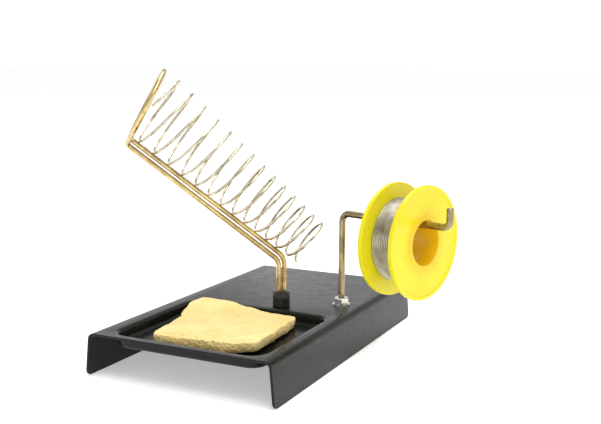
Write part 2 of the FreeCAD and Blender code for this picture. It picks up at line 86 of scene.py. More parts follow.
# ---------------------------------------------------------------- reading the frame


def joint(name: str) -> dict:
    """Return a joint's entry in the record."""
    return next(entry for entry in frame["record"]["behaviour"]["joints"] if entry["name"] == name)


def joint_point(name: str) -> Vector:
    """Return the place of a joint."""
    return Vector(joint(name)["pos_m"])


def joint_axis(name: str) -> Vector:
    """Return the unit axis of a joint."""
    return Vector(joint(name)["axis"]).normalized()


# ---------------------------------------------------------------- mesh helpers


def smoothstep(low: float, high: float, value: float) -> float:
    """Return 0 below low, 1 above high and a smooth rise between them."""
    share = min(max((value - low) / (high - low), 0.0), 1.0)
    return share * share * (3 - 2 * share)


def add_mesh(name: str, points: Sequence[Vector], faces: Sequence[Sequence[int]],
             crease: float = 40.0) -> bpy.types.Object:
    """Make a smooth-shaded object from points and faces.

    Args:
        name: the piece's name.
        points: its vertices.
        faces: vertex numbers of each face.
        crease: edges that turn by more than this stay sharp.

    Returns:
        The new object, linked to the scene.
    """
    mesh = bpy.data.meshes.new(name)
    mesh.from_pydata([tuple(point) for point in points], [], faces)
    return add_object(name, mesh, crease)


def add_object(name: str, mesh: bpy.types.Mesh, crease: float) -> bpy.types.Object:
    """Turn faces outward, shade them smooth and link the object.

    Args:
        name: the piece's name.
        mesh: its mesh.
        crease: edges that turn by more than this stay sharp.

    Returns:
        The new object.
    """
    shell = bmesh.new()
    shell.from_mesh(mesh)
    bmesh.ops.recalc_face_normals(shell, faces=shell.faces)
    shell.to_mesh(mesh)
    shell.free()
    mesh.shade_smooth()
    mesh.set_sharp_from_angle(angle=math.radians(crease))
    made = bpy.data.objects.new(name, mesh)
    bpy.context.scene.collection.objects.link(made)
    return made


def spoke(across: Vector, beside: Vector, angle: float, reach: float) -> Vector:
    """Return the step from a circle's middle to its edge at an angle.

    Args:
        across: the unit direction of angle 0.
        beside: the unit direction of a quarter turn.
        angle: the angle in radians.
        reach: the circle's radius.
    """
    return (across * math.cos(angle) + beside * math.sin(angle)) * reach


def ring_faces(rings: int, sides: int, closed: bool) -> list[tuple[int, ...]]:
    """Return the quads between rings of points.

    Args:
        rings: how many rings follow one another.
        sides: points in each ring.
        closed: True if the last ring joins the first.
    """
    faces = []
    for i in range(rings if closed else rings - 1):
        here, there = i * sides, (i + 1) % rings * sides
        for k in range(sides):
            after = (k + 1) % sides
            faces.append((here + k, here + after, there + after, there + k))
    return faces


def bent_path(corners: Sequence[Vector], radii: Sequence[float], step: float = 5.0) -> list[Vector]:
    """Return a path of straight runs joined by tangent bends.

    Args:
        corners: the first point, each corner and the last point.
        radii: the bend radius at each inner corner.
        step: degrees between the points of a bend.
    """
    path = [corners[0]]
    for before, corner, after, radius in zip(corners, corners[1:], corners[2:], radii):
        back, onward = (before - corner).normalized(), (after - corner).normalized()
        half = back.angle(onward) / 2
        centre = corner + (back + onward).normalized() * (radius / math.sin(half))
        arm = corner + back * (radius / math.tan(half)) - centre
        hinge = arm.cross(corner + onward * (radius / math.tan(half)) - centre).normalized()
        turn = math.pi - 2 * half
        count = max(3, round(math.degrees(turn) / step))
        path += [centre + Matrix.Rotation(turn * i / count, 3, hinge) @ arm for i in range(count + 1)]
    return path + [corners[-1]]


def sweep(name: str, path: Sequence[Vector], radius: Callable[[float, float], float],
          sides: int = 20, bevel: float = 0.25 * MM) -> bpy.types.Object:
    """Draw a round wire along a path, with its two ends a little rounded.

    Args:
        name: the piece's name.
        path: the wire's middle line.
        radius: its radius at a distance along the path and an angle round it.
        sides: points round the wire.
        bevel: how far each end is rounded.

    Returns:
        The wire.
    """
    first, last = (path[1] - path[0]).normalized(), (path[-1] - path[-2]).normalized()
    line = [path[0], path[0] + first * bevel, *path[1:-1], path[-1] - last * bevel, path[-1]]
    tangents = [(b - a).normalized() for a, b in zip(line, line[1:])]
    tangents = [tangents[0], *((a + b).normalized() for a, b in zip(tangents, tangents[1:])), tangents[-1]]
    across = tangents[0].orthogonal().normalized()
    points, gone = [], 0.0
    for i, (place, tangent) in enumerate(zip(line, tangents)):
        if i:
            gone += (place - line[i - 1]).length
            across = tangents[i - 1].rotation_difference(tangent) @ across
        shrink = bevel if i in (0, len(line) - 1) else 0.0
        beside = tangent.cross(across)
        for k in range(sides):
            angle = math.tau * k / sides
            points.append(place + spoke(across, beside, angle, radius(gone, angle) - shrink))
    faces = ring_faces(len(line), sides, closed=False)
    faces += [tuple(range(sides)), tuple(range(len(points) - sides, len(points)))]
    return add_mesh(name, points, faces)


def lathe(name: str, profile: Sequence[tuple[float, float]], centre: Vector, axis: Vector,
          sides: int = 128, crease: float = 40.0) -> bpy.types.Object:
    """Turn a closed profile right round an axis.

    Args:
        name: the piece's name.
        profile: pairs of distance along the axis and radius.
        centre: the point on the axis that distances are measured from.
        axis: the unit axis.
        sides: points round the axis.
        crease: edges that turn by more than this stay sharp.

    Returns:
        The turned piece.
    """
    across = axis.orthogonal().normalized()
    beside = axis.cross(across)
    points = []
    for along, radius in profile:
        points += [centre + axis * along + spoke(across, beside, math.tau * k / sides, radius)
                   for k in range(sides)]
    return add_mesh(name, points, ring_faces(len(profile), sides, closed=True), crease)


def rounded_profile(corners: Sequence[tuple[float, float]], radius: float) -> list[tuple[float, float]]:
    """Round every corner of a closed profile by one radius, in three steps each.

    Args:
        corners: the profile's corners.
        radius: the radius of each rounding.
    """
    flat = [Vector((a, b, 0)) for a, b in corners]
    rounded = []
    for i, corner in enumerate(flat):
        before, after = flat[i - 1], flat[(i + 1) % len(flat)]
        bend = bent_path([before, corner, after], [radius], step=30.0)[1:-1]
        rounded += [(point.x, point.y) for point in bend]
    return rounded


def finish_piece(piece: bpy.types.Object, body: Body, node: str,
                 material: bpy.types.Material) -> None:
    """Give a piece its body and its material, and hide the node that it stands for.

    Args:
        piece: the new piece.
        body: the body that it rides on.
        node: the CAD node that it replaces.
        material: its procedural material.
    """
    piece.data.materials.append(material)
    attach(piece, body.value)
    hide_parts(node)
    log.info("%s: %d faces on %s", piece.name, len(piece.data.polygons), body.value)


def keep_node(node: str, material: bpy.types.Material) -> None:
    """Give a CAD node that stays a procedural material.

    Args:
        node: the node's name.
        material: its new material.
    """
    kept = frame["nodes"][node]
    for place in kept.material_slots:
        place.link = "OBJECT"
        place.material = material
    log.info("%s: kept from the design", node)


# ---------------------------------------------------------------- finishes


class NodeSheet:
    """A material's node tree, with short calls for the nodes that the finishes use."""

    def __init__(self, name: str) -> None:
        """Start a material with a plain shader."""
        self.material = bpy.data.materials.new(name)
        self.material.use_nodes = True
        self.tree = self.material.node_tree
        self.shader = self.tree.nodes["Principled BSDF"]
        self.place = self.tree.nodes.new("ShaderNodeTexCoord").outputs["Object"]

    def set(self, **values: float | Color) -> None:
        """Set values that are the same all over; underscores stand for spaces."""
        for name, value in values.items():
            filled = (*value, 1.0) if isinstance(value, tuple) and name != "Subsurface_Radius" else value
            self.shader.inputs[name.replace("_", " ")].default_value = filled

    def drive(self, **sources: Socket) -> None:
        """Link sockets to the shader; underscores stand for spaces."""
        for name, source in sources.items():
            self.tree.links.new(source, self.shader.inputs[name.replace("_", " ")])

    def stretched(self, scale: Color) -> Socket:
        """Return the object's coordinates, scaled apart on each axis."""
        node = self.tree.nodes.new("ShaderNodeMapping")
        node.inputs["Scale"].default_value = scale
        self.tree.links.new(self.place, node.inputs["Vector"])
        return node.outputs["Vector"]

    def noise(self, scale: float, detail: float = 3.0, rough: float = 0.5,
              vector: Socket | None = None) -> Socket:
        """Return fractal noise at a scale per metre.

        Args:
            scale: waves per metre.
            detail: octaves.
            rough: how much the finer octaves count.
            vector: other coordinates than the object's own.
        """
        node = self.tree.nodes.new("ShaderNodeTexNoise")
        node.inputs["Scale"].default_value = scale
        node.inputs["Detail"].default_value = detail
        node.inputs["Roughness"].default_value = rough
        self.tree.links.new(vector or self.place, node.inputs["Vector"])
        return node.outputs["Fac"]

    def cells(self, scale: float) -> Socket:
        """Return the distance to the nearest of scattered points, at a scale per metre."""
        node = self.tree.nodes.new("ShaderNodeTexVoronoi")
        node.inputs["Scale"].default_value = scale
        self.tree.links.new(self.place, node.inputs["Vector"])
        return node.outputs["Distance"]

    def height(self) -> Socket:
        """Return the height above the bench."""
        node = self.tree.nodes.new("ShaderNodeSeparateXYZ")
        self.tree.links.new(self.place, node.inputs[0])
        return node.outputs["Z"]

    def distance(self, point: Vector) -> Socket:
        """Return the distance from a point."""
        node = self.tree.nodes.new("ShaderNodeVectorMath")
        node.operation = "DISTANCE"
        node.inputs[1].default_value = point
        self.tree.links.new(self.place, node.inputs[0])
        return node.outputs["Value"]

    def span(self, source: Socket, start: float, end: float, low: float, high: float) -> Socket:
        """Map a source from one range to another, and hold it there.

        Args:
            source: the value.
            start: the source's value that gives low.
            end: the source's value that gives high.
            low: the first result.
            high: the last result.
        """
        node = self.tree.nodes.new("ShaderNodeMapRange")
        for name, value in (("From Min", start), ("From Max", end), ("To Min", low), ("To Max", high)):
            node.inputs[name].default_value = value
        self.tree.links.new(source, node.inputs["Value"])
        return node.outputs["Result"]

    def times(self, first: Socket, second: Socket) -> Socket:
        """Multiply two sources."""
        node = self.tree.nodes.new("ShaderNodeMath")
        node.operation = "MULTIPLY"
        self.tree.links.new(first, node.inputs[0])
        self.tree.links.new(second, node.inputs[1])
        return node.outputs[0]

    def mix(self, share: Socket, first: Color | Socket, second: Color | Socket) -> Socket:
        """Mix two colours by a share.

        Args:
            share: 0 gives the first and 1 the second.
            first: a colour or a source.
            second: a colour or a source.
        """
        node = self.tree.nodes.new("ShaderNodeMix")
        node.data_type = "RGBA"
        self.tree.links.new(share, node.inputs["Factor"])
        for socket, source in ((node.inputs[6], first), (node.inputs[7], second)):
            if isinstance(source, tuple):
                socket.default_value = (*source, 1.0)
            else:
                self.tree.links.new(source, socket)
        return node.outputs[2]

    def patchy_gloss(self, scale: float, gloss: tuple[float, float]) -> None:
        """Let the roughness wander between two values, in patches at a scale per metre."""
        self.drive(Roughness=self.span(self.noise(scale, 4.0, 0.6), 0.3, 0.7, *gloss))

    def bump(self, source: Socket, depth: float, strength: float = 1.0,
             under: Socket | None = None) -> Socket:
        """Return a normal from a height.

        Args:
            source: the height, from 0 to 1.
            depth: the height of 1, in metres.
            strength: the bump's strength.
            under: a normal to add to.
        """
        node = self.tree.nodes.new("ShaderNodeBump")
        node.inputs["Strength"].default_value = strength
        node.inputs["Distance"].default_value = depth
        self.tree.links.new(source, node.inputs["Height"])
        if under:
            self.tree.links.new(under, node.inputs["Normal"])
        return node.outputs["Normal"]


@dataclass(frozen=True)
class BlackEnamel:
    """Semi-gloss black enamel with orange peel, dust and a few rubbed spots."""

    name: str = "black_enamel"
    paint: Color = (0.0075, 0.0075, 0.007)
    rubbed: Color = (0.020, 0.019, 0.016)
    flux: Color = (0.10, 0.065, 0.025)
    gloss: tuple[float, float] = (0.18, 0.32)
    peel_scale: float = 420.0
    peel_depth: float = 0.00012

    def make(self) -> bpy.types.Material:
        """Build the material."""
        sheet = NodeSheet(self.name)
        broad = sheet.noise(38.0, 5.0, 0.6)
        fine = sheet.noise(900.0, 3.0, 0.6)
        worn = sheet.span(sheet.times(broad, fine), 0.28, 0.46, 0.0, 0.6)
        splash = sheet.span(sheet.cells(95.0), 0.10, 0.14, 0.5, 0.0)
        coat = sheet.mix(worn, self.paint, self.rubbed)
        splashed = sheet.times(splash, sheet.span(broad, 0.55, 0.62, 0.0, 1.0))
        sheet.drive(Base_Color=sheet.mix(splashed, coat, self.flux))
        sheet.patchy_gloss(140.0, self.gloss)
        peel = sheet.bump(sheet.noise(self.peel_scale, 2.0, 0.4), self.peel_depth, 0.3)
        sheet.drive(Normal=sheet.bump(fine, 0.00002, 0.4, under=peel))
        sheet.set(Specular_IOR_Level=0.17, Coat_Weight=0.03, Coat_Roughness=0.2)
        return sheet.material


@dataclass(frozen=True)
class PlatedWire:
    """Bright plated steel wire: tarnished in patches, with fine drawing marks."""

    name: str
    bright: Color
    dull: Color
    brown: Color
    gloss: tuple[float, float] = (0.16, 0.34)
    brown_share: float = 0.6

    def make(self) -> bpy.types.Material:
        """Build the material."""
        sheet = NodeSheet(self.name)
        patches = sheet.noise(120.0, 5.0, 0.6)
        marks = sheet.noise(1600.0, 2.0, 0.5)
        plate = sheet.mix(sheet.span(patches, 0.38, 0.64, 0.0, 1.0), self.bright, self.dull)
        spots = sheet.times(sheet.span(sheet.noise(420.0, 4.0, 0.7), 0.56, 0.68, 0.0, self.brown_share),
                            sheet.span(patches, 0.40, 0.60, 0.25, 1.0))
        sheet.drive(Base_Color=sheet.mix(spots, plate, self.brown))
        sheet.patchy_gloss(260.0, self.gloss)
        sheet.drive(Normal=sheet.bump(marks, 0.00003, 0.35))
        sheet.set(Metallic=1.0)
        return sheet.material


@dataclass(frozen=True)
class MouldedYellow:
    """Glossy yellow moulded plastic, with painted orange shade round its thick hub where light bounces
    inside the plastic.
    """

    hub: Vector
    name: str = "moulded_yellow"
    hub_shade_amber: Color = (0.80, 0.36, 0.004)
    yellow: Color = (0.76, 0.69, 0.012)
    deep: Color = (0.78, 0.55, 0.006)
    gloss: tuple[float, float] = (0.22, 0.36)

    def make(self) -> bpy.types.Material:
        """Build the material."""
        sheet = NodeSheet(self.name)
        clouds = sheet.noise(45.0, 3.0, 0.5)
        body = sheet.mix(sheet.span(clouds, 0.35, 0.7, 0.0, 0.35), self.yellow, self.deep)
        # painted shade: the colour turns orange near the hub, standing in for light bounced inside the
        # plastic
        painted_hub_shade = sheet.span(sheet.distance(self.hub), 0.0135, 0.0205, 0.6, 0.0)
        sheet.drive(Base_Color=sheet.mix(painted_hub_shade, body, self.hub_shade_amber))
        sheet.patchy_gloss(320.0, self.gloss)
        grain = sheet.bump(sheet.noise(2200.0, 2.0, 0.5), 0.00002, 0.35)
        sheet.drive(Normal=sheet.bump(sheet.noise(180.0, 3.0, 0.5), 0.00006, 0.25, under=grain))
        sheet.set(Subsurface_Weight=0.08, Subsurface_Scale=0.002, Subsurface_Radius=(1.0, 0.45, 0.02),
                  Specular_IOR_Level=0.3)
        return sheet.material


@dataclass(frozen=True)
class SolderWire:
    """Soft grey solder wire with dull oxide, smears and a warm cast of flux."""

    name: str = "solder_wire"
    bright: Color = (0.56, 0.54, 0.49)
    dull: Color = (0.28, 0.25, 0.20)
    gloss: tuple[float, float] = (0.26, 0.46)

    def make(self) -> bpy.types.Material:
        """Build the material."""
        sheet = NodeSheet(self.name)
        smears = sheet.noise(210.0, 5.0, 0.65)
        sheet.drive(Base_Color=sheet.mix(sheet.span(smears, 0.35, 0.68, 0.0, 1.0), self.bright, self.dull))
        sheet.patchy_gloss(500.0, self.gloss)
        sheet.drive(Normal=sheet.bump(sheet.noise(2600.0, 3.0, 0.6), 0.00004, 0.5))
        sheet.set(Metallic=0.92)
        return sheet.material


@dataclass(frozen=True)
class CelluloseFoam:
    """Pale yellow cellulose with painted shade in its pores and towards its bottom, scorched and stained
    here and there.
    """

    name: str = "cellulose_sponge"
    pale: Color = (0.90, 0.74, 0.32)
    deep: Color = (0.72, 0.47, 0.14)
    scorch: Color = (0.20, 0.10, 0.035)

    def make(self) -> bpy.types.Material:
        """Build the material."""
        sheet = NodeSheet(self.name)
        pores = sheet.cells(950.0)
        clouds = sheet.noise(70.0, 5.0, 0.6)
        body = sheet.mix(sheet.span(clouds, 0.35, 0.70, 0.0, 0.55), self.pale, self.deep)
        # painted shade: the colour is darker in the pores, where shade falls
        pore_shaded = sheet.mix(sheet.span(pores, 0.08, 0.34, 0.65, 0.0), body, self.deep)
        marks = sheet.times(sheet.span(sheet.noise(130.0, 5.0, 0.7), 0.63, 0.72, 0.0, 0.85),
                            sheet.span(clouds, 0.40, 0.58, 0.0, 1.0))
        # painted shade: the colour is darker towards the bottom of the pad, where shade falls under its
        # curled edges
        low_shade = sheet.span(sheet.height(), 0.0158, 0.0185, 0.75, 0.0)
        sheet.drive(Base_Color=sheet.mix(low_shade, sheet.mix(marks, pore_shaded, self.scorch), self.deep))
        sheet.drive(Roughness=sheet.span(clouds, 0.3, 0.7, 0.78, 0.95))
        sheet.drive(Normal=sheet.bump(pores, 0.0004, 0.8))
        sheet.set(Subsurface_Weight=0.2, Subsurface_Scale=0.003, Subsurface_Radius=(1.0, 0.7, 0.3))
        sheet.set(Sheen_Weight=0.15, Specular_IOR_Level=0.3)
        return sheet.material


@dataclass(frozen=True)
class BlackOxide:
    """Black oxide on turned steel, with faint lathe rings and grey rubbed marks."""

    name: str = "black_oxide"
    black: Color = (0.014, 0.014, 0.013)
    grey: Color = (0.09, 0.088, 0.08)

    def make(self) -> bpy.types.Material:
        """Build the material."""
        sheet = NodeSheet(self.name)
        rubbed = sheet.span(sheet.noise(600.0, 5.0, 0.7), 0.54, 0.72, 0.0, 0.8)
        sheet.drive(Base_Color=sheet.mix(rubbed, self.black, self.grey))
        sheet.drive(Roughness=sheet.span(rubbed, 0.0, 0.8, 0.30, 0.48))
        rings = sheet.noise(1.0, 2.0, 0.5, vector=sheet.stretched((80.0, 80.0, 3200.0)))
        sheet.drive(Normal=sheet.bump(rings, 0.00004, 0.6))
        sheet.set(Metallic=0.35)
        return sheet.material


@dataclass(frozen=True)
class BrightZinc:
    """Bright zinc plate on fasteners, slightly clouded, with a faint blue and yellow cast."""

    name: str = "bright_zinc"
    cool: Color = (0.62, 0.64, 0.66)
    warm: Color = (0.66, 0.62, 0.52)
    gloss: tuple[float, float] = (0.14, 0.34)

    def make(self) -> bpy.types.Material:
        """Build the material."""
        sheet = NodeSheet(self.name)
        cloud = sheet.noise(330.0, 4.0, 0.6)
        sheet.drive(Base_Color=sheet.mix(sheet.span(cloud, 0.38, 0.64, 0.0, 1.0), self.cool, self.warm))
        sheet.patchy_gloss(900.0, self.gloss)
        sheet.drive(Normal=sheet.bump(sheet.noise(3000.0, 2.0, 0.5), 0.00002, 0.4))
        sheet.set(Metallic=1.0)
        return sheet.material


@dataclass(frozen=True)
class StudioFloor:
    """Matt pale floor with a faint glow of its own, as thin white sheet has under lamps."""

    name: str = "pale_floor"
    pale: Color = (0.86, 0.86, 0.86)
    glow: float = 0.46

    def make(self) -> bpy.types.Material:
        """Build the material."""
        sheet = NodeSheet(self.name)
        drift = sheet.span(sheet.noise(3.0, 2.0), 0.3, 0.7, 0.0, 1.0)
        sheet.drive(Base_Color=sheet.mix(drift, self.pale, tuple(0.985 * part for part in self.pale)))
        sheet.set(Roughness=0.8, Specular_IOR_Level=0.1)
        sheet.set(Emission_Color=self.pale, Emission_Strength=self.glow)
        return sheet.material


GILT = PlatedWire("gilt_wire", (0.74, 0.58, 0.28), (0.40, 0.29, 0.13), (0.13, 0.07, 0.025))
PALE_GILT = PlatedWire("pale_gilt_wire", (0.74, 0.69, 0.54), (0.46, 0.40, 0.27), (0.14, 0.10, 0.05),
                       (0.14, 0.30), 0.75)
DARK_GILT = PlatedWire("dark_gilt_wire", (0.40, 0.33, 0.20), (0.25, 0.20, 0.12), (0.09, 0.06, 0.03))


# ---------------------------------------------------------------- the base


@dataclass
class FoldedBase:
    """The folded and pressed steel channel."""

    gauge: float = 1.2 * MM
    splay: float = 2.0 * MM
    fold: float = 3.2 * MM
    foot_corner: float = 3.0 * MM
    well_at: tuple[float, float] = (1.0 * MM, -44.0 * MM)
    well_size: tuple[float, float] = (78.0 * MM, 72.0 * MM)
    well_depth: float = 5.5 * MM
    well_corner: float = 8.0 * MM
    lip: float = 1.9 * MM
    foot: float = 1.6 * MM
    draft: float = 0.5 * MM
    hole: float = 2.2 * MM
    hole_sides: int = 32
    weld: float = 0.001 * MM
    edge: float = 0.22 * MM
    foot_lift: float = 0.1 * MM
    steps: int = 8

    def build(self) -> bpy.types.Object:
        """Build the sheet as a surface, then give it its thickness.

        Returns:
            The base plate.
        """
        low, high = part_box("base_plate")
        self.middle = Vector(((low.x + high.x) / 2, (low.y + high.y) / 2, 0))
        self.top, self.end = high.z, (high.y - low.y) / 2
        self.foot_out = (high.x - low.x) / 2
        sheet = bmesh.new()
        self._press_top(sheet)
        for sign in (-1, 1):
            self._fold_side(sheet, sign)
        bmesh.ops.remove_doubles(sheet, verts=sheet.verts, dist=self.weld)
        bmesh.ops.recalc_face_normals(sheet, faces=sheet.faces)
        crown = max(sheet.faces, key=lambda face: face.calc_center_median().z + face.calc_area())
        if crown.normal.z < 0:
            bmesh.ops.reverse_faces(sheet, faces=sheet.faces)
        mesh = bpy.data.meshes.new("base_sheet")
        sheet.to_mesh(mesh)
        sheet.free()
        mesh.shade_smooth()
        piece = bpy.data.objects.new("base_sheet", mesh)
        bpy.context.scene.collection.objects.link(piece)
        thick = piece.modifiers.new("gauge", "SOLIDIFY")
        thick.thickness, thick.offset, thick.use_even_offset = self.gauge, -1.0, True
        soft = piece.modifiers.new("sheared_edge", "BEVEL")
        soft.width, soft.segments, soft.limit_method = self.edge, 2, "ANGLE"
        soft.angle_limit = math.radians(50)
        soft.harden_normals = True
        return piece

    def _press_top(self, sheet: bmesh.types.BMesh) -> None:
        """Make the flat top with its well and its two holes."""
        fold_start = self._fold_points()[0][0]
        rim = [(sx * fold_start, sy * self.end) for sx, sy in ((1, -1), (1, 1), (-1, 1), (-1, -1))]
        loops = [self._loop(sheet, [Vector((*spot, self.top)) for spot in rim])]
        rings = [self._well_ring(sheet, out, down) for out, down in self._well_profile()]
        loops.append(rings[0])
        for name in ("holder_swivel", "arm_swivel"):
            spot = joint_point(name) - self.middle
            turns = [math.tau * k / self.hole_sides for k in range(self.hole_sides)]
            circle = [Vector((spot.x + self.hole * math.cos(turn), spot.y + self.hole * math.sin(turn),
                              self.top)) for turn in turns]
            loops.append(self._loop(sheet, circle))
        edges = []
        for loop in loops:
            for a, b in zip(loop, loop[1:] + loop[:1]):
                edges.append(sheet.edges.get((a, b)) or sheet.edges.new((a, b)))
        bmesh.ops.triangle_fill(sheet, use_beauty=True, edges=edges, normal=UP)
        for outer, inner in zip(rings, rings[1:]):
            for i in range(len(outer)):
                j = (i + 1) % len(outer)
                sheet.faces.new((outer[i], outer[j], inner[j], inner[i]))
        sheet.faces.new(rings[-1])

    def _loop(self, sheet: bmesh.types.BMesh, points: Sequence[Vector]) -> list[bmesh.types.BMVert]:
        """Add points, given from the plate's middle, as vertices."""
        return [sheet.verts.new(point + self.middle) for point in points]

    def _well_profile(self) -> list[tuple[float, float]]:
        """Return the well's wall as pairs: outward from the wall's line, and below the plate."""
        quarter = [math.pi / 2 * i / self.steps for i in range(self.steps + 1)]
        lip = [(self.lip * (1 - math.sin(a)), self.lip * (1 - math.cos(a))) for a in quarter]
        floor = [(-self.draft - self.foot * (1 - math.cos(a)),
                  self.well_depth - self.foot * (1 - math.sin(a))) for a in quarter]
        return lip + floor

    def _well_ring(self, sheet: bmesh.types.BMesh, out: float, down: float) -> list[bmesh.types.BMVert]:
        """Add one rounded rectangle round the well."""
        corner = self.well_corner + out
        reach = [size / 2 + out - corner for size in self.well_size]
        points = []
        for quadrant, (sx, sy) in enumerate(((1, 1), (-1, 1), (-1, -1), (1, -1))):
            for i in range(13):
                angle = math.pi / 2 * (quadrant + i / 12)
                points.append(Vector((self.well_at[0] + sx * reach[0] + corner * math.cos(angle),
                                      self.well_at[1] + sy * reach[1] + corner * math.sin(angle),
                                      self.top - down)))
        return self._loop(sheet, points)

    def _fold_points(self) -> list[tuple[float, float]]:
        """Return the fold's section: pairs of distance out and height."""
        turn = math.pi / 2 - math.atan(self.splay / self.top)
        start = self.foot_out - self.splay - self.fold * math.tan(turn / 2)
        turns = [turn * i / self.steps for i in range(self.steps + 1)]
        return [(start + self.fold * math.sin(a), self.top - self.fold * (1 - math.cos(a))) for a in turns]

    def _fold_side(self, sheet: bmesh.types.BMesh, sign: int) -> None:
        """Add one fold and the flange below it."""
        rows = [self._loop(sheet, [Vector((sign * out, y, height)) for y in (-self.end, self.end)])
                for out, height in self._fold_points()]
        for (a, b), (c, d) in zip(rows, rows[1:]):
            sheet.faces.new((a, b, d, c))
        out, height = self._fold_points()[-1]
        slope = (self.foot_out - out) / height
        outline = []
        for end in (1, -1):
            for i in range(7):
                angle = math.pi / 2 * (i / 6 if end == 1 else 1 - i / 6)
                y = end * (self.end - self.foot_corner * (1 - math.cos(angle)))
                z = self.foot_lift + self.foot_corner * (1 - math.sin(angle))
                outline.append(Vector((sign * (self.foot_out - slope * z), y, z)))
        sheet.faces.new([rows[-1][1], *self._loop(sheet, outline), rows[-1][0]])


# ---------------------------------------------------------------- the sponge


@dataclass
class Sponge:
    """The cellulose sponge, cut by hand and dried a little curled.

    Each corner is given by how far it stands in from the pad's box, sideways and lengthwise.
    """

    spacing: float = 0.45 * MM
    wave: float = 1.2 * MM
    curl: float = 4.0 * MM
    rise: float = 1.6 * MM
    pore: float = 0.42 * MM
    inset: float = 0.4 * MM
    ragged: float = 0.25 * MM
    swell: float = 0.35 * MM
    wave_rate: float = 150.0
    ragged_rate: float = 700.0
    swell_rate: float = 90.0
    fine_pores: float = 520.0
    coarse_pores: float = 210.0
    front_left: tuple[float, float] = (9.0 * MM, 0.0)
    front_right: tuple[float, float] = (0.0, 6.0 * MM)
    rear_right: tuple[float, float] = (5.0 * MM, 0.0)
    rear_left: tuple[float, float] = (0.0, 0.5 * MM)
    rows: int = 10

    def build(self) -> bpy.types.Object:
        """Build the pad as a closed skin of two faces and a cut edge.

        Returns:
            The sponge.
        """
        self.low, self.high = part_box("sponge")
        size = self.high - self.low
        across, along = round(size.x / self.spacing), round(size.y / self.spacing)
        points, faces = [], []
        for level in (1.0, 0.0):
            for j in range(along + 1):
                for i in range(across + 1):
                    points.append(self._place(2 * i / across - 1, 2 * j / along - 1, level))
        width, count = across + 1, (across + 1) * (along + 1)
        for base in (0, count):
            for j in range(along):
                for i in range(across):
                    a = base + j * width + i
                    faces.append((a, a + 1, a + width + 1, a + width))
        rim = list(range(width)) + [j * width + across for j in range(1, along + 1)]
        rim += [along * width + i for i in range(across - 1, -1, -1)]
        rim += [j * width for j in range(along - 1, 0, -1)]
        above = rim
        for row in range(1, self.rows + 1):
            if row == self.rows:
                below = [count + i for i in rim]
            else:
                below = list(range(len(points), len(points) + len(rim)))
                for i in rim:
                    u, v = 2 * (i % width) / across - 1, 2 * (i // width) / along - 1
                    points.append(self._place(u, v, 1 - row / self.rows))
            for k in range(len(rim)):
                after = (k + 1) % len(rim)
                faces.append((above[k], above[after], below[after], below[k]))
            above = below
        return add_mesh("sponge_pad", points, faces, crease=180.0)

    def _place(self, u: float, v: float, level: float) -> Vector:
        """Return a point of the skin.

        Args:
            u: from -1 at the left edge to 1 at the right.
            v: from -1 at the front edge to 1 at the rear.
            level: 0 underneath, 1 on top.
        """
        low, high = self.low, self.high
        corners = {(-1, -1): Vector((low.x + self.front_left[0], low.y + self.front_left[1])),
                   (1, -1): Vector((high.x - self.front_right[0], low.y + self.front_right[1])),
                   (1, 1): Vector((high.x - self.rear_right[0], high.y - self.rear_right[1])),
                   (-1, 1): Vector((low.x + self.rear_left[0], high.y - self.rear_left[1]))}
        spot = sum((corner * ((1 + sx * u) / 2 * (1 + sy * v) / 2) for (sx, sy), corner in corners.items()),
                   Vector((0, 0)))
        middle = sum(corners.values(), Vector((0, 0))) / 4
        edge = max(abs(u), abs(v))
        bulge = 1 - 0.012 * (2 * level - 1) ** 2 * smoothstep(0.96, 1.0, edge)
        pull = 1 - 0.055 * (abs(u) * abs(v)) ** 6
        spot = middle + (spot - middle) * pull * bulge
        outward = (spot - middle).normalized()
        ripple = noise.noise(Vector((spot.x, spot.y, 0.004 * level)) * self.wave_rate)
        ragged = noise.noise(Vector((spot.x, spot.y, 0.006 * level)) * self.ragged_rate)
        spot += outward * (self.wave * (ripple - 0.6) + self.ragged * ragged) * smoothstep(0.7, 1.0, edge)
        floor = low.z + 0.1 * MM
        thick = (high.z - low.z - self.inset) * (1 - 0.18 * smoothstep(0.82, 1.0, edge))
        lift = self.curl * smoothstep(0.35, 1.6, (v - u) - 0.55 * (1 - v))
        lift += self.rise * smoothstep(0.5, 1.0, u) * (0.6 - 0.4 * v)
        swell = self.swell * noise.noise(Vector((spot.x, spot.y, 0)) * self.swell_rate)
        height = floor + thick * level + lift + swell * (0.4 + 0.6 * level)
        place = Vector((spot.x, spot.y, height))
        return place + self._pore_shift(place, level, edge)

    def _pore_shift(self, place: Vector, level: float, edge: float) -> Vector:
        """Return how far a pore draws the skin in at a place."""
        fine = noise.voronoi(place * self.fine_pores)[0][0]
        coarse = noise.voronoi(place * self.coarse_pores)[0][0]
        depth = self.pore * (1 - smoothstep(0.12, 0.42, fine)) * 0.6
        depth += self.pore * (1 - smoothstep(0.10, 0.34, coarse))
        inward = Vector((0, 0, -1 if level > 0.5 else 1))
        if edge > 0.995:
            middle = (self.low + self.high) / 2
            inward = Vector((middle.x - place.x, middle.y - place.y, 0)).normalized()
        return inward * depth if 0.0 < level else Vector((0, 0, depth * 0.5))


# ---------------------------------------------------------------- the iron holder


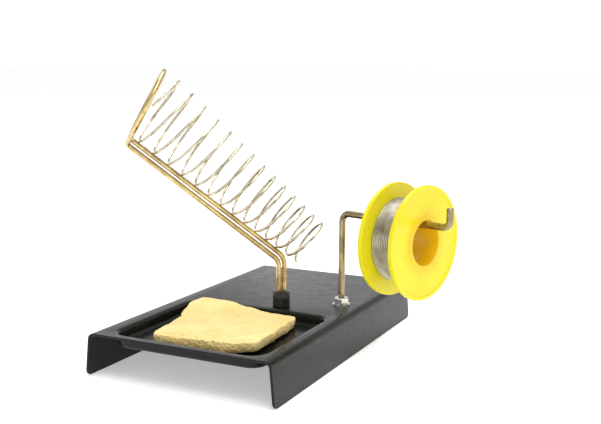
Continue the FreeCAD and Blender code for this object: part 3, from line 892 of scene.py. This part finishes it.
@dataclass
class IronHolder:
    """One hairpin wire with its mouth ring, the tapered coil on it and the collar."""

    wire: float = 2.6 * MM
    leg_spacing: float = 3.2 * MM
    leg_twist: float = 75.0
    bend_height: float = 25.0 * MM
    bend_radius: float = 7.0 * MM
    leg_rise: float = 38.5
    leg_run: float = 98.0 * MM
    ring_radius: float = 18.5 * MM
    ring_lean: float = 118.0
    ring_start: float = 10.8
    ring_bend: float = 2.8 * MM
    grip: float = 5.0 * MM
    coil_wire: float = 1.4 * MM
    coil_turns: float = 13.75
    coil_crowding: float = 0.8
    coil_small: float = 11.6 * MM
    coil_large: float = 17.9 * MM
    coil_tail: float = 7.0 * MM
    coil_reach: float = 100.6 * MM
    coil_gap: float = 0.05 * MM
    coil_play: float = 0.25 * MM
    points_per_turn: int = 56
    ring_points: int = 90
    collar_edge: float = 0.5 * MM

    def __post_init__(self) -> None:
        """Find the holder's post and its directions."""
        self.post = joint_point("holder_swivel")
        mouth = next(mount for mount in frame["record"]["mounts"] if mount["name"] == "iron_mouth")
        self.out = Vector((mouth["axis"][0], mouth["axis"][1], 0)).normalized()
        self.side = self.out.cross(UP)
        self.bend = self.post + UP * self.bend_height
        twist = math.radians(self.leg_twist)
        self.offset = self.leg_spacing / 2 * math.sin(twist)
        self.beside = self.leg_spacing / 2 * math.cos(twist)

    def direction(self, degrees_up: float) -> Vector:
        """Return the unit direction in the holder's plane at an angle above level."""
        angle = math.radians(degrees_up)
        return self.out * math.cos(angle) + UP * math.sin(angle)

    def _leg(self, sign: int, start_angle: float, centre: Vector, ring_up: Vector) -> list[Vector]:
        """Return one leg's middle line, from its foot to the ring.

        Args:
            sign: -1 for the lower leg, 1 for the upper one.
            start_angle: where the leg meets the ring, in radians from its lowest point.
            centre: the ring's centre.
            ring_up: the direction up the ring's plane.
        """
        rise = math.radians(self.leg_rise)
        shift = self.side * (sign * self.beside)
        lean = sign * self.offset * (1 - math.sin(rise)) / math.cos(rise)
        corner = self.bend + shift - self.out * (sign * self.offset) + UP * lean
        collar_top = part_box("holder_ferrule")[1].z
        low = Vector((corner.x, corner.y, collar_top - self.grip))
        fall = self.ring_radius / math.cos(start_angle) - self.beside * math.tan(start_angle)
        ring_corner = centre + shift - ring_up * fall
        ring_point = (centre + self.side * (sign * self.ring_radius * math.sin(start_angle))
                      - ring_up * (self.ring_radius * math.cos(start_angle)))
        turn = self.bend_radius + sign * self.offset
        return bent_path([low, corner, ring_corner, ring_point], [turn, self.ring_bend], 4.0)

    def build_frame(self) -> bpy.types.Object:
        """Bend the hairpin: up the lower leg, round the ring and down the upper leg."""
        square = self.direction(self.leg_rise + 90)
        ring_up = self.direction(self.ring_lean)
        tilt = ring_up.dot(square)
        near = math.radians(self.ring_start)
        drop = self.ring_radius / math.cos(near) - self.beside * math.tan(near)
        to_middle = drop + self.offset / tilt
        reach = to_middle + self.offset / tilt
        far = math.atan2(self.beside, reach) + math.acos(self.ring_radius / math.hypot(reach, self.beside))
        centre = self.bend + self.direction(self.leg_rise) * self.leg_run + ring_up * to_middle
        lower = self._leg(-1, far, centre, ring_up)
        upper = self._leg(1, near, centre, ring_up)
        ring = []
        for i in range(1, self.ring_points):
            angle = -far - (math.tau - far - near) * i / self.ring_points
            ring.append(centre + self.side * (self.ring_radius * math.sin(angle))
                        - ring_up * (self.ring_radius * math.cos(angle)))
        radius = self.wire / 2
        return sweep("hairpin_frame", lower + ring + upper[::-1], lambda _gone, _angle: radius, sides=24)

    def build_coil(self) -> bpy.types.Object:
        """Wind the tapered left-hand coil along the upper leg, its turns opening towards the mouth."""
        length = self.coil_tail + self.coil_reach
        taper = math.asin((self.coil_large - self.coil_small) / length)
        lean = self.leg_rise + math.degrees(taper)
        axis, upward = self.direction(lean), self.direction(lean + 90)
        rest = self.offset + self.wire / 2 + self.coil_wire / 2 + self.coil_gap
        start = (self.bend - self.direction(self.leg_rise) * self.coil_tail
                 + self.direction(self.leg_rise + 90) * rest + upward * self.coil_small)
        steps = round(self.coil_turns * self.points_per_turn)
        path = []
        for step in range(steps + 1):
            share = step / steps
            gone = self.coil_crowding * share + (1 - self.coil_crowding) * share ** 2
            angle = math.tau * self.coil_turns * share
            free = (1 - math.cos(angle)) / 2
            sway = noise.noise(Vector((angle * 0.17, 3.1, 0))) * self.coil_play * free
            swell = noise.noise(Vector((angle * 0.23, 9.7, 0))) * self.coil_play * free
            radius = self.coil_small + (self.coil_large - self.coil_small) * gone + swell
            outward = self.side * math.sin(angle) - upward * math.cos(angle)
            path.append(start + axis * (gone * length * math.cos(taper) + sway * 2) + outward * radius)
        radius_of_wire = self.coil_wire / 2
        return sweep("tapered_coil", path, lambda _gone, _angle: radius_of_wire, sides=14)

    def build_collar(self) -> bpy.types.Object:
        """Turn the collar that the two legs stand in."""
        low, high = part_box("holder_ferrule")
        radius, height, edge = (high.x - low.x) / 2, high.z - low.z, self.collar_edge
        groove = height * 0.42
        profile = [(0.0, 0.2 * MM), (0.0, radius - edge / 2), (edge / 2, radius), (groove, radius),
                   (groove + 0.15 * MM, radius - 0.25 * MM), (groove + 0.55 * MM, radius - 0.25 * MM),
                   (groove + 0.7 * MM, radius), (height - edge, radius),
                   (height - 0.35 * edge, radius - 0.3 * edge),
                   (height, radius - edge), (height, 0.2 * MM)]
        return lathe("leg_collar", profile, Vector((self.post.x, self.post.y, low.z)), UP, 72, 30.0)


# ---------------------------------------------------------------- the reel arm


@dataclass
class ReelArm:
    """The bent rod with its threaded foot, and its two nuts."""

    rod: float = 3.5 * MM
    first_bend: float = 4.5 * MM
    tip_bend: float = 3.5 * MM
    level: float = 48.6 * MM
    reach: float = 65.0 * MM
    thread_pitch: float = 0.6 * MM
    thread_depth: float = 0.2 * MM
    thread_above: float = 3.0 * MM
    nut_flats: float = 7.0 * MM
    nut_turn: float = 12.0
    countersink: float = 0.3 * MM

    def __post_init__(self) -> None:
        """Find the arm's foot and its heading."""
        self.foot = joint_point("arm_swivel")
        self.along = joint_axis("reel_spin")

    def build_rod(self) -> bpy.types.Object:
        """Bend the rod, with fine steps along its thread."""
        low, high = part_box("reel_arm")
        thread_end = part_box("arm_top_nut")[1].z + self.thread_above
        bottom = Vector((self.foot.x, self.foot.y, low.z))
        rows = round((thread_end - low.z) / (self.thread_pitch / 8))
        thread = [bottom + UP * ((thread_end - low.z) * i / rows) for i in range(rows)]
        level = self.foot.z + self.level
        end = self.foot + self.along * self.reach
        corners = [Vector((self.foot.x, self.foot.y, thread_end)), Vector((self.foot.x, self.foot.y, level)),
                   Vector((end.x, end.y, level)), Vector((end.x, end.y, high.z))]
        path = thread + bent_path(corners, [self.first_bend, self.tip_bend], 5.0)
        length, core = thread_end - low.z, self.rod / 2

        def radius(gone: float, angle: float) -> float:
            """Return the rod's radius, cut by the thread near the foot."""
            if gone > length:
                return core
            phase = (gone / self.thread_pitch - angle / math.tau) % 1.0
            groove = abs(2 * phase - 1)
            fade = smoothstep(0.0, 0.8 * MM, length - gone)
            return core - self.thread_depth * groove * fade

        return sweep("bent_arm", path, radius, sides=32, bevel=0.4 * MM)

    def build_nut(self, node: str) -> bpy.types.Object:
        """Cut a hexagon nut, chamfered on both faces.

        Args:
            node: the CAD node that gives its place.

        Returns:
            The nut.
        """
        low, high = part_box(node)
        height, bore, sides = high.z - low.z, self.rod / 2, 72
        face = self.nut_flats / 2 * 0.96
        heading = math.atan2(self.along.y, self.along.x) + math.radians(self.nut_turn)
        points = []
        rows = [(bore, self.countersink), (bore + self.countersink, 0.0), (face, 0.0), (None, 0.0),
                (None, height), (face, height), (bore + self.countersink, height),
                (bore, height - self.countersink)]
        for radius, level in rows:
            for k in range(sides):
                angle = math.tau * k / sides
                corner = self.nut_flats / 2 / math.cos(angle % math.radians(60) - math.radians(30))
                drop = (corner - face) * math.tan(math.radians(30))
                reach = corner if radius is None else radius
                rise = level if radius is not None else (drop if level == 0.0 else height - drop)
                points.append(Vector((self.foot.x + reach * math.cos(angle + heading),
                                      self.foot.y + reach * math.sin(angle + heading), low.z + rise)))
        return add_mesh(f"{node}_hexagon", points, ring_faces(len(rows), sides, closed=True), 20.0)


# ---------------------------------------------------------------- the reel


@dataclass
class SolderReel:
    """The moulded reel and the solder wound on it."""

    flange: float = 28.0 * MM
    bore: float = 11.0 * MM
    boss: float = 12.8 * MM
    barrel: float = 14.0 * MM
    wall: float = 2.2 * MM
    dish: float = 0.6 * MM
    rim: float = 26.4 * MM
    rounding: float = 0.28 * MM
    width: float = 19.8 * MM
    solder: float = 0.95 * MM
    solder_radius: float = 20.7 * MM
    points_per_turn: int = 84

    def __post_init__(self) -> None:
        """Find the reel's middle and axis."""
        self.centre = joint_point("reel_spin")
        self.axis = joint_axis("reel_spin")

    def build_reel(self) -> bpy.types.Object:
        """Turn the reel's rounded profile."""
        out, inner = self.width / 2, self.width / 2 - self.wall
        web = out - self.dish
        right = [(out, self.bore), (out, self.boss), (web, self.boss + 0.5 * MM), (web, self.rim - 0.5 * MM),
                 (out, self.rim), (out, self.flange), (inner, self.flange), (inner, self.barrel)]
        left = [(-across, radius) for across, radius in reversed(right)]
        profile = rounded_profile(right + left, self.rounding)
        return lathe("reel_moulding", profile, self.centre, self.axis, 160, 50.0)

    def build_winding(self) -> bpy.types.Object:
        """Wind the outer layer turn by turn over a core of the layers below."""
        gap = self.width / 2 - self.wall - 0.05 * MM
        across = self.axis.orthogonal().normalized()
        beside = self.axis.cross(across)
        turns = int(2 * (gap - self.solder / 2) / (self.solder * 1.03))
        start, end = -gap + self.solder / 2, gap - self.solder / 2
        steps = turns * self.points_per_turn
        path = []
        for step in range(steps + 1):
            gone = step / steps
            angle = math.tau * turns * gone
            uneven = noise.noise(Vector((angle * 0.31, 1.7, 0)))
            radius = self.solder_radius - self.solder / 2 - 0.12 * MM * (1 + uneven)
            if step > steps - 12:
                radius -= self.solder * 0.9 * smoothstep(0, 12, step - steps + 12)
            sway = 0.1 * MM * noise.noise(Vector((angle * 0.5, 6.3, 0)))
            along = start + (end - start) * gone + sway * math.sin(math.pi * gone)
            path.append(self.centre + self.axis * along + spoke(across, beside, angle, radius))
        wire = self.solder / 2
        winding = sweep("solder_turns", path, lambda _gone, _angle: wire, sides=10, bevel=0.1 * MM)
        under = self.solder_radius - self.solder * 0.95
        core = lathe("solder_under_layers", [(-gap, self.barrel + 0.02 * MM), (gap, self.barrel + 0.02 * MM),
                                             (gap, under), (-gap, under)], self.centre, self.axis, 96)
        return self._joined(winding, core)

    @staticmethod
    def _joined(first: bpy.types.Object, second: bpy.types.Object) -> bpy.types.Object:
        """Add the second object's mesh to the first, and remove the second."""
        both = bmesh.new()
        both.from_mesh(first.data)
        both.from_mesh(second.data)
        both.to_mesh(first.data)
        both.free()
        bpy.data.objects.remove(second)
        return first


# ---------------------------------------------------------------- studio


@dataclass(frozen=True)
class SoftBox:
    """A square lamp that points at the stand."""

    name: str
    place: tuple[float, float, float]
    size: float
    power: float
    tint: Color = (1.0, 1.0, 1.0)

    def hang(self, aim: Vector) -> None:
        """Hang the lamp and turn it.

        Args:
            aim: the point that it faces.
        """
        lamp = bpy.data.lights.new(self.name, "AREA")
        lamp.size, lamp.energy, lamp.color = self.size, self.power, self.tint
        hung = bpy.data.objects.new(self.name, lamp)
        hung.location = self.place
        hung.rotation_euler = (aim - hung.location).to_track_quat("-Z", "Y").to_euler()
        bpy.context.scene.collection.objects.link(hung)


@dataclass
class Studio:
    """The pale floor, the soft lamps and the camera."""

    floor_size: float = 60.0
    floor_drop: float = 0.05 * MM
    sky: Color = (0.99, 0.995, 1.0)
    horizon_light: float = 1.30
    upper_light: float = 0.62
    fade: tuple[float, float] = (0.10, 0.42)
    eye: tuple[float, float, float] = (0.2036, -0.4205, 0.1446)
    lens: float = 56.0
    roll: float = 0.45
    boxes: tuple[SoftBox, ...] = (
        SoftBox("window_behind", (-0.5, 0.8, 2.2), 1.4, 26.0),
        SoftBox("key_above", (0.6, -0.5, 1.9), 1.1, 20.0, (1.0, 0.98, 0.95)),
    )

    def build(self) -> None:
        """Set up everything that isn't part of the stand, shown in plain colours."""
        bpy.context.scene.view_settings.view_transform = "Standard"
        half = self.floor_size / 2
        corners = [Vector((sx * half, sy * half, -self.floor_drop))
                   for sx, sy in ((-1, -1), (1, -1), (1, 1), (-1, 1))]
        floor = add_mesh("studio_floor", corners, [(0, 1, 2, 3)])
        floor.data.materials.append(StudioFloor().make())
        self._light_sky()
        aim = (CAD_BOX[0] + CAD_BOX[1]) / 2
        for lamp in self.boxes:
            lamp.hang(aim)
        self._set_camera(aim)

    def _light_sky(self) -> None:
        """Light the room from all round: bright at the horizon and dimmer overhead."""
        world = bpy.data.worlds.new("pale_sky")
        world.use_nodes = True
        tree = world.node_tree
        sky = tree.nodes["Background"]
        sky.inputs["Color"].default_value = (*self.sky, 1.0)
        direction = tree.nodes.new("ShaderNodeTexCoord").outputs["Generated"]
        split = tree.nodes.new("ShaderNodeSeparateXYZ")
        tree.links.new(direction, split.inputs[0])
        fading = tree.nodes.new("ShaderNodeMapRange")
        for name, value in (("From Min", self.fade[0]), ("From Max", self.fade[1]),
                            ("To Min", self.horizon_light), ("To Max", self.upper_light)):
            fading.inputs[name].default_value = value
        tree.links.new(split.outputs["Z"], fading.inputs["Value"])
        tree.links.new(fading.outputs["Result"], sky.inputs["Strength"])
        bpy.context.scene.world = world

    def _set_camera(self, aim: Vector) -> None:
        """Stand the camera at its eye point and turn it to the stand.

        Args:
            aim: the point in the middle of the view.
        """
        shot = bpy.data.cameras.new("stand_view")
        shot.lens, shot.sensor_width = self.lens, 36.0
        shot.clip_start = 0.01
        camera = bpy.data.objects.new("stand_view", shot)
        eye = Vector(self.eye)
        turn = (aim - eye).to_track_quat("-Z", "Y").to_matrix()
        turn = turn @ Matrix.Rotation(math.radians(self.roll), 3, "Z")
        camera.matrix_world = Matrix.Translation(eye) @ turn.to_4x4()
        bpy.context.scene.collection.objects.link(camera)
        bpy.context.scene.camera = camera


def main() -> None:
    """Build each sub-assembly in order."""
    logging.basicConfig(level=logging.INFO, format="%(name)s: %(message)s")
    Studio().build()
    finish_piece(FoldedBase().build(), Body.BASE, "base_plate", BlackEnamel().make())
    sponge = Sponge().build()
    finish_piece(sponge, Body.PAD, "sponge", CelluloseFoam().make())

    holder = IronHolder()
    finish_piece(holder.build_frame(), Body.HOLDER, "holder_frame", GILT.make())
    finish_piece(holder.build_coil(), Body.HOLDER, "coil_spring", PALE_GILT.make())
    finish_piece(holder.build_collar(), Body.HOLDER, "holder_ferrule", BlackOxide().make())

    arm = ReelArm()
    zinc = BrightZinc().make()
    finish_piece(arm.build_rod(), Body.ARM, "reel_arm", DARK_GILT.make())
    for node in ("arm_top_nut", "arm_bottom_nut"):
        finish_piece(arm.build_nut(node), Body.ARM, node, zinc)
    for node in ("holder_screw", "holder_flat_washer", "holder_lock_washer", "arm_top_washer",
                 "arm_bottom_washer", "arm_lock_washer"):
        keep_node(node, zinc)

    reel = SolderReel()
    yellow = MouldedYellow(reel.centre).make()
    finish_piece(reel.build_reel(), Body.REEL, "solder_reel", yellow)
    finish_piece(reel.build_winding(), Body.REEL, "solder_winding", SolderWire().make())


if __name__ == "__main__":
    main()
